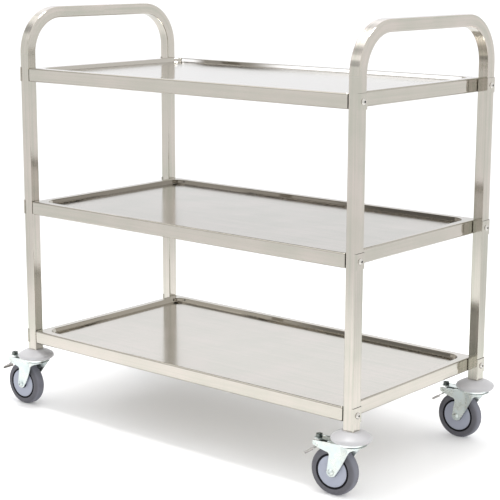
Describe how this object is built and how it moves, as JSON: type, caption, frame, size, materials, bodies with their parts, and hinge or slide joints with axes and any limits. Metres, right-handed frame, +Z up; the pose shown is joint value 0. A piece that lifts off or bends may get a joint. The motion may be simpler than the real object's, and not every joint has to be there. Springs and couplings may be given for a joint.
{
  "type": "utility cart",
  "caption": "Rolling service trolley: tray shelves with raised rims between two square-tube hoops that form push handles, on braked swivel casters.",
  "frame": {"origin": "on the floor, at the middle of the cart's overall footprint, which includes the casters' pedals at the left end", "axes": "+X along the cart towards the right-hand push handle, +Y across the cart away from the viewer of the picture, +Z up"},
  "size_m": [1.0503, 0.5396, 0.925],
  "materials": {
    "shelf_steel": "stainless sheet, finely brushed along its length and nearly mirror bright",
    "frame_steel": "stainless square tube, satin brushed along the tube",
    "fastener_steel": "plain bright steel with dark hexagon sockets",
    "zinc_plate": "bright bluish zinc plate on pressed steel",
    "ball_steel": "polished ball steel, greased",
    "insert_plastic": "black moulded plug",
    "bumper_plastic": "light grey moulded plastic, satin",
    "tyre_rubber": "grey non-marking rubber, slightly dusty",
    "wheel_black": "black moulded wheel centre",
    "cover_plastic": "blue-grey moulded cover"
  },
  "bodies": {
    "frame": {"left_hoop": "frame_steel", "right_hoop": "frame_steel", "bottom_shelf": "shelf_steel", "middle_shelf": "shelf_steel", "top_shelf": "shelf_steel", "leg_saddles": "frame_steel", "shelf_screws": "fastener_steel", "weld_nuts": "fastener_steel", "leg_inserts": "insert_plastic", "caster_stems": "zinc_plate", "head_cups": "zinc_plate", "swivel_balls": "ball_steel", "bumper_front_left": "bumper_plastic", "bumper_front_right": "bumper_plastic", "bumper_back_left": "bumper_plastic", "bumper_back_right": "bumper_plastic"},
    "front_left_caster": {"fork_front_left": "zinc_plate", "axle_bolt_front_left": "zinc_plate", "axle_sleeve_front_left": "zinc_plate", "brake_pin_front_left": "zinc_plate", "brake_leaf_front_left": "zinc_plate", "brake_screw_front_left": "fastener_steel"},
    "front_left_wheel": {"wheel_core_front_left": "wheel_black", "tyre_front_left": "tyre_rubber", "hub_covers_front_left": "cover_plastic"},
    "front_left_pedal": {"brake_pedal_front_left": "zinc_plate"},
    "front_right_caster": {"fork_front_right": "zinc_plate", "axle_bolt_front_right": "zinc_plate", "axle_sleeve_front_right": "zinc_plate", "brake_pin_front_right": "zinc_plate", "brake_leaf_front_right": "zinc_plate", "brake_screw_front_right": "fastener_steel"},
    "front_right_wheel": {"wheel_core_front_right": "wheel_black", "tyre_front_right": "tyre_rubber", "hub_covers_front_right": "cover_plastic"},
    "front_right_pedal": {"brake_pedal_front_right": "zinc_plate"},
    "back_left_caster": {"fork_back_left": "zinc_plate", "axle_bolt_back_left": "zinc_plate", "axle_sleeve_back_left": "zinc_plate", "brake_pin_back_left": "zinc_plate", "brake_leaf_back_left": "zinc_plate", "brake_screw_back_left": "fastener_steel"},
    "back_left_wheel": {"wheel_core_back_left": "wheel_black", "tyre_back_left": "tyre_rubber", "hub_covers_back_left": "cover_plastic"},
    "back_left_pedal": {"brake_pedal_back_left": "zinc_plate"},
    "back_right_caster": {"fork_back_right": "zinc_plate", "axle_bolt_back_right": "zinc_plate", "axle_sleeve_back_right": "zinc_plate", "brake_pin_back_right": "zinc_plate", "brake_leaf_back_right": "zinc_plate", "brake_screw_back_right": "fastener_steel"},
    "back_right_wheel": {"wheel_core_back_right": "wheel_black", "tyre_back_right": "tyre_rubber", "hub_covers_back_right": "cover_plastic"},
    "back_right_pedal": {"brake_pedal_back_right": "zinc_plate"}
  },
  "joints": [
    {"name": "front_left_swivel", "type": "hinge", "parent": "frame", "child": "front_left_caster", "pos_m": [-0.42612, -0.2285, 0.11], "axis": [0, 0, 1], "continuous": true},
    {"name": "front_left_roll", "type": "hinge", "parent": "front_left_caster", "child": "front_left_wheel", "pos_m": [-0.4611, -0.22972, 0.05], "axis": [0.0349, -0.9994, 0], "continuous": true},
    {"name": "front_left_brake", "type": "hinge", "parent": "front_left_caster", "child": "front_left_pedal", "pos_m": [-0.49408, -0.23087, 0.10101], "axis": [0.0349, -0.9994, 0], "range_deg": [0, 24]},
    {"name": "front_right_swivel", "type": "hinge", "parent": "frame", "child": "front_right_caster", "pos_m": [0.48388, -0.2285, 0.11], "axis": [0, 0, 1], "continuous": true},
    {"name": "front_right_roll", "type": "hinge", "parent": "front_right_caster", "child": "front_right_wheel", "pos_m": [0.44914, -0.23276, 0.05], "axis": [0.1219, -0.9925, 0], "continuous": true},
    {"name": "front_right_brake", "type": "hinge", "parent": "front_right_caster", "child": "front_right_pedal", "pos_m": [0.41639, -0.23679, 0.10101], "axis": [0.1219, -0.9925, 0], "range_deg": [0, 24]},
    {"name": "back_left_swivel", "type": "hinge", "parent": "frame", "child": "back_left_caster", "pos_m": [-0.42612, 0.2285, 0.11], "axis": [0, 0, 1], "continuous": true},
    {"name": "back_left_roll", "type": "hinge", "parent": "back_left_caster", "child": "back_left_wheel", "pos_m": [-0.4611, 0.22728, 0.05], "axis": [0.0349, -0.9994, 0], "continuous": true},
    {"name": "back_left_brake", "type": "hinge", "parent": "back_left_caster", "child": "back_left_pedal", "pos_m": [-0.49408, 0.22613, 0.10101], "axis": [0.0349, -0.9994, 0], "range_deg": [0, 24]},
    {"name": "back_right_swivel", "type": "hinge", "parent": "frame", "child": "back_right_caster", "pos_m": [0.48388, 0.2285, 0.11], "axis": [0, 0, 1], "continuous": true},
    {"name": "back_right_roll", "type": "hinge", "parent": "back_right_caster", "child": "back_right_wheel", "pos_m": [0.4489, 0.22728, 0.05], "axis": [0.0349, -0.9994, 0], "continuous": true},
    {"name": "back_right_brake", "type": "hinge", "parent": "back_right_caster", "child": "back_right_pedal", "pos_m": [0.41592, 0.22613, 0.10101], "axis": [0.0349, -0.9994, 0], "range_deg": [0, 24]}
  ]
}
